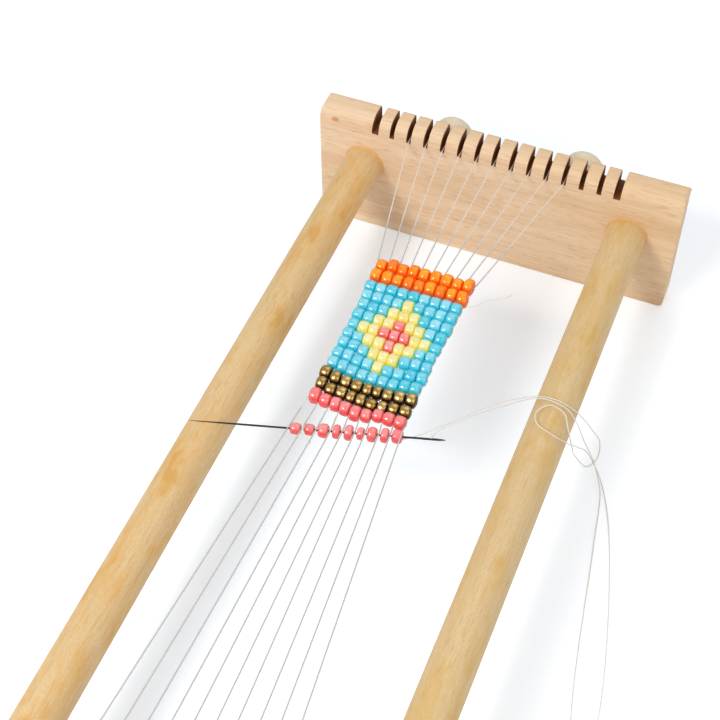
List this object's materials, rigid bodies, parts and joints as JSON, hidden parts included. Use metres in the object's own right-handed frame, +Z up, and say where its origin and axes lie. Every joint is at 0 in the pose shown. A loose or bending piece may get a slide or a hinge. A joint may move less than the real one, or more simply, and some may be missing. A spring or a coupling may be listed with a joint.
{
  "type": "bead loom",
  "caption": "Wooden bead loom with two slotted end boards, dowel rails, tensioned warp threads, a woven strip of beads and a needle that slides through the next row of beads.",
  "frame": {"origin": "middle of the footprint, on the table under the loom", "axes": "+X to the right across the loom, +Y along the dowels towards the far end board, +Z up"},
  "size_m": [0.1363, 0.29, 0.0445],
  "materials": {
    "beech": "fine sanded beech with short dark flecks, bare",
    "dowel_wood": "honey coloured straight-grained dowel, bare",
    "peg_wood": "pale turned wood, smooth",
    "warp_thread": "white waxed thread, slightly glossy",
    "weft_thread": "off-white beading thread",
    "glass_orange": "opaque glossy orange glass",
    "glass_turquoise": "opaque glossy turquoise glass, with pale yellow and coral beads in the middle rows",
    "glass_bronze": "metallic bronze coated glass",
    "glass_pink": "opaque glossy coral pink glass",
    "needle_steel": "dark polished steel"
  },
  "bodies": {
    "frame": {"end_board_far": "beech", "end_board_near": "beech", "dowel_left": "dowel_wood", "dowel_right": "dowel_wood", "peg_far_left": "peg_wood", "peg_far_right": "peg_wood", "peg_near_left": "peg_wood", "peg_near_right": "peg_wood", "warp_01": "warp_thread", "warp_02": "warp_thread", "warp_03": "warp_thread", "warp_04": "warp_thread", "warp_05": "warp_thread", "warp_06": "warp_thread", "warp_07": "warp_thread", "warp_08": "warp_thread", "warp_09": "warp_thread", "warp_10": "warp_thread", "bead_row_01": "glass_orange", "bead_row_02": "glass_orange", "bead_row_03": "glass_turquoise", "bead_row_04": "glass_turquoise", "bead_row_05": "glass_turquoise", "bead_row_06": "glass_turquoise", "bead_row_07": "glass_turquoise", "bead_row_08": "glass_turquoise", "bead_row_09": "glass_turquoise", "bead_row_10": "glass_turquoise", "bead_row_11": "glass_turquoise", "bead_row_12": "glass_bronze", "bead_row_13": "glass_bronze", "bead_row_14": "glass_pink", "working_thread": "weft_thread", "weft_tail": "weft_thread", "weft_end": "weft_thread"},
    "needle": {"needle": "needle_steel"},
    "bead_1": {"needle_bead_1": "glass_pink"},
    "bead_2": {"needle_bead_2": "glass_pink"},
    "bead_3": {"needle_bead_3": "glass_pink"},
    "bead_4": {"needle_bead_4": "glass_pink"},
    "bead_5": {"needle_bead_5": "glass_pink"},
    "bead_6": {"needle_bead_6": "glass_pink"},
    "bead_7": {"needle_bead_7": "glass_pink"},
    "bead_8": {"needle_bead_8": "glass_pink"},
    "bead_9": {"needle_bead_9": "glass_pink"}
  },
  "joints": [
    {"name": "needle_slide", "type": "slide", "parent": "frame", "child": "needle", "axis": [-0.9593, -0.2823, 0], "range_m": [-0.027, 0.0045], "deforming": ["working_thread"]},
    {"name": "bead_1_spin", "type": "hinge", "parent": "frame", "child": "bead_1", "pos_m": [-0.01612, 0.00737, 0.03907], "axis": [0.9938, 0.1115, 0], "continuous": true},
    {"name": "bead_2_spin", "type": "hinge", "parent": "frame", "child": "bead_2", "pos_m": [-0.01269, 0.00838, 0.03907], "axis": [0.9938, 0.1115, 0], "continuous": true},
    {"name": "bead_3_spin", "type": "hinge", "parent": "frame", "child": "bead_3", "pos_m": [-0.00929, 0.00939, 0.03907], "axis": [0.9938, 0.1115, 0], "continuous": true},
    {"name": "bead_4_spin", "type": "hinge", "parent": "frame", "child": "bead_4", "pos_m": [-0.00619, 0.0103, 0.03907], "axis": [0.9938, 0.1115, 0], "continuous": true},
    {"name": "bead_5_spin", "type": "hinge", "parent": "frame", "child": "bead_5", "pos_m": [-0.00334, 0.01114, 0.03907], "axis": [0.9938, 0.1115, 0], "continuous": true},
    {"name": "bead_6_spin", "type": "hinge", "parent": "frame", "child": "bead_6", "pos_m": [-0.00053, 0.01196, 0.03907], "axis": [0.9938, 0.1115, 0], "continuous": true},
    {"name": "bead_7_spin", "type": "hinge", "parent": "frame", "child": "bead_7", "pos_m": [0.00249, 0.01285, 0.03907], "axis": [0.9938, 0.1115, 0], "continuous": true},
    {"name": "bead_8_spin", "type": "hinge", "parent": "frame", "child": "bead_8", "pos_m": [0.00563, 0.01378, 0.03907], "axis": [0.9938, 0.1115, 0], "continuous": true},
    {"name": "bead_9_spin", "type": "hinge", "parent": "frame", "child": "bead_9", "pos_m": [0.00882, 0.01472, 0.03907], "axis": [0.9938, 0.1115, 0], "continuous": true}
  ]
}
